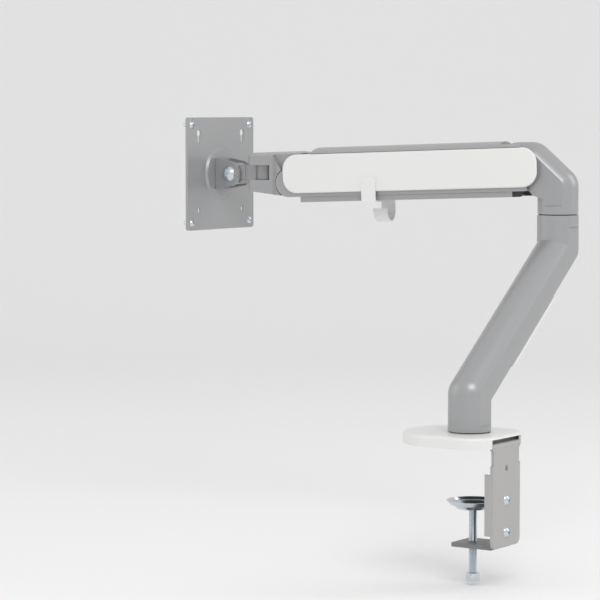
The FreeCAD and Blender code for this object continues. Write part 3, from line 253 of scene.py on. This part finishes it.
# %% Turn the head and the rivet
HEAD_RADIUS = 0.0065
HEAD_CHAMFER = 0.0005
RIVET_RADIUS = 0.00195
RIVET_GRIP = 0.0022        # the rivet's shank, through the dish
RIVET_HEAD_RADIUS = 0.0034
RIVET_HEAD_EDGE = 0.0007
RIVET_CROWN_RADIUS = 0.0026
RIVET_CROWN = 0.0005


def lathe(name, profile, steps=48):
    """A closed turned piece on the screw's axis, from points of (radius, height)."""
    turns = [2 * math.pi * j / steps for j in range(steps)]
    return skin_rings(name, [[screw_point(radius, turn, height) for turn in turns]
                             for radius, height in profile])


head = lathe("clamp_screw_head", [(HEAD_RADIUS - HEAD_CHAMFER, SCREW_END),
                                  (HEAD_RADIUS, SCREW_END + HEAD_CHAMFER),
                                  (HEAD_RADIUS, HEAD_TOP - HEAD_CHAMFER),
                                  (HEAD_RADIUS - HEAD_CHAMFER, HEAD_TOP)])
rivet_seat = SHANK_TOP + RIVET_GRIP
rivet_edge = rivet_seat + RIVET_HEAD_EDGE
rivet = lathe("clamp_screw_rivet", [(RIVET_RADIUS, SHANK_TOP),
                                    (RIVET_RADIUS, rivet_seat),
                                    (RIVET_HEAD_RADIUS, rivet_seat),
                                    (RIVET_HEAD_RADIUS, rivet_edge),
                                    (RIVET_CROWN_RADIUS, rivet_edge + RIVET_CROWN)])
print("head across:", round(HEAD_RADIUS * 2000, 1), "mm")

# %% [markdown]
# ## The hole in the head
# A bar through the head turns the screw. A boolean drills its hole, and the result is
# applied to the mesh, so that nothing but the drilled head is left in the scene.

# %% Drill the hole for the bar
BAR_HOLE_RADIUS = 0.0023
BAR_HOLE_TURN = math.radians(35.0)
DRILL_LENGTH = 0.02

bpy.ops.mesh.primitive_cylinder_add(vertices=POINTS_PER_TURN, radius=BAR_HOLE_RADIUS,
                                    depth=DRILL_LENGTH,
                                    location=(*SCREW_AXIS, SCREW_END + HEAD_LENGTH / 2),
                                    rotation=(0, math.pi / 2, BAR_HOLE_TURN))
drill = bpy.context.object
bore = head.modifiers.new("bar_hole", "BOOLEAN")
bore.object = drill
bore.operation = "DIFFERENCE"
bore.solver = "EXACT"
bpy.context.view_layer.update()
bench = bpy.context.evaluated_depsgraph_get()
drilled = bpy.data.meshes.new_from_object(head.evaluated_get(bench))
head.modifiers.clear()
head.data = drilled
bpy.data.objects.remove(drill)
print("faces of the drilled head:", len(drilled.polygons))

# %% [markdown]
# ## Put the screw on its spindle
# All three pieces are zinc-plated steel and turn with the screw. The thread stands in
# for the plain cylinder of the engineering model.

# %% Fasten the three pieces
for piece in (thread, head, rivet):
    piece.data.materials.append(finishes["zinc_steel"])
    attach(piece, "clamp_spindle")
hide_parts("clamp_screw")
print("riding on clamp_spindle:", thread.name, head.name, rivet.name)

# %% [markdown]
# ## The floor
# A sheet of pale paper gives the catalogue look. It lies just under the arm and
# curves up into a wall behind it, so that no corner shows.

# %% Hang the paper
FLOOR_GAP = 0.004
FLOOR_HEIGHT = cad_box[0][2] - FLOOR_GAP
PAPER_NEAR = -4.0          # where the paper starts, on the camera's side of the arm
SWEEP_START = 2.2          # how far behind the arm the paper starts to rise
SWEEP_RADIUS = 1.5
PAPER_TOP = 5.0
PAPER_HALF = 6.0


def paper_sweep(name, steps=24):
    """A floor that curves up into a wall behind the arm, so that no horizon shows."""
    profile = [(PAPER_NEAR, 0.0), (SWEEP_START, 0.0)]
    for k in range(1, steps + 1):
        turn = math.pi / 2 * k / steps
        profile.append((SWEEP_START + SWEEP_RADIUS * math.sin(turn),
                        SWEEP_RADIUS * (1 - math.cos(turn))))
    profile.append((SWEEP_START + SWEEP_RADIUS, PAPER_TOP))
    ahead = CAMERA_HEADING
    aside = Vector((-ahead.y, ahead.x, 0))
    mesh = bmesh.new()
    rows = []
    for side in (-PAPER_HALF, PAPER_HALF):
        rows.append([mesh.verts.new(ahead * distance + aside * side
                                    + Vector((0, 0, FLOOR_HEIGHT + height)))
                     for distance, height in profile])
    for k in range(len(profile) - 1):
        strip = mesh.faces.new((rows[0][k], rows[0][k + 1], rows[1][k + 1], rows[1][k]))
        strip.smooth = True
    paper = bpy.data.meshes.new(name)
    mesh.to_mesh(paper)
    mesh.free()
    sheet = bpy.data.objects.new(name, paper)
    bpy.context.scene.collection.objects.link(sheet)
    return sheet


floor = paper_sweep("studio_floor")
floor.data.materials.append(make_finish("floor_paper", (0.9, 0.9, 0.9), 0.9,
                                        grain_depth=0.0))
print("floor at", round(FLOOR_HEIGHT, 4), "m")

# %% [markdown]
# ## The light
# Pale surroundings light every side a little. One large soft light stands on the
# camera's side and above, a second fills from the left, and a tall one on the right,
# a little behind the arm, brightens the edges there.

# %% Hang the lights
AIR_STRENGTH = 0.80
LIGHT_TARGET = Vector((-0.08, -0.1, 0.12))
SOFTBOXES = {
    "key_light": {"place": (0.9, 0.9, 1.3), "size": (0.9, 0.7), "power": 9.0},
    "fill_light": {"place": (0.9, -1.6, 0.7), "size": (1.2, 1.2), "power": 2.5},
    "edge_light": {"place": (-1.2, 1.2, 1.0), "size": (0.5, 1.4), "power": 5.0},
}

surroundings = bpy.data.worlds.new("studio_air")
surroundings.use_nodes = True
air = surroundings.node_tree.nodes["Background"]
air.inputs["Color"].default_value = (1.0, 1.0, 1.0, 1.0)
air.inputs["Strength"].default_value = AIR_STRENGTH
bpy.context.scene.world = surroundings


def add_softbox(name, place, size, power):
    """A rectangular light that points at the arm."""
    lamp_data = bpy.data.lights.new(name, "AREA")
    lamp_data.shape = "RECTANGLE"
    lamp_data.size, lamp_data.size_y = size
    lamp_data.energy = power
    lamp = bpy.data.objects.new(name, lamp_data)
    bpy.context.scene.collection.objects.link(lamp)
    lamp.location = place
    lamp.rotation_euler = (LIGHT_TARGET - Vector(place)).to_track_quat("-Z", "Y").to_euler()


for name, softbox in SOFTBOXES.items():
    add_softbox(name, **softbox)
bpy.context.scene.view_settings.view_transform = "Standard"
print("lights:", ", ".join(SOFTBOXES))

# %% [markdown]
# ## The size of the arm
# Paint must not change a piece's size. We print the size of the engineering model's box.

# %% Print the size of the arm
arm_size = [round(high - low, 4) for low, high in zip(*cad_box)]
print("size of the arm:", arm_size, "m")
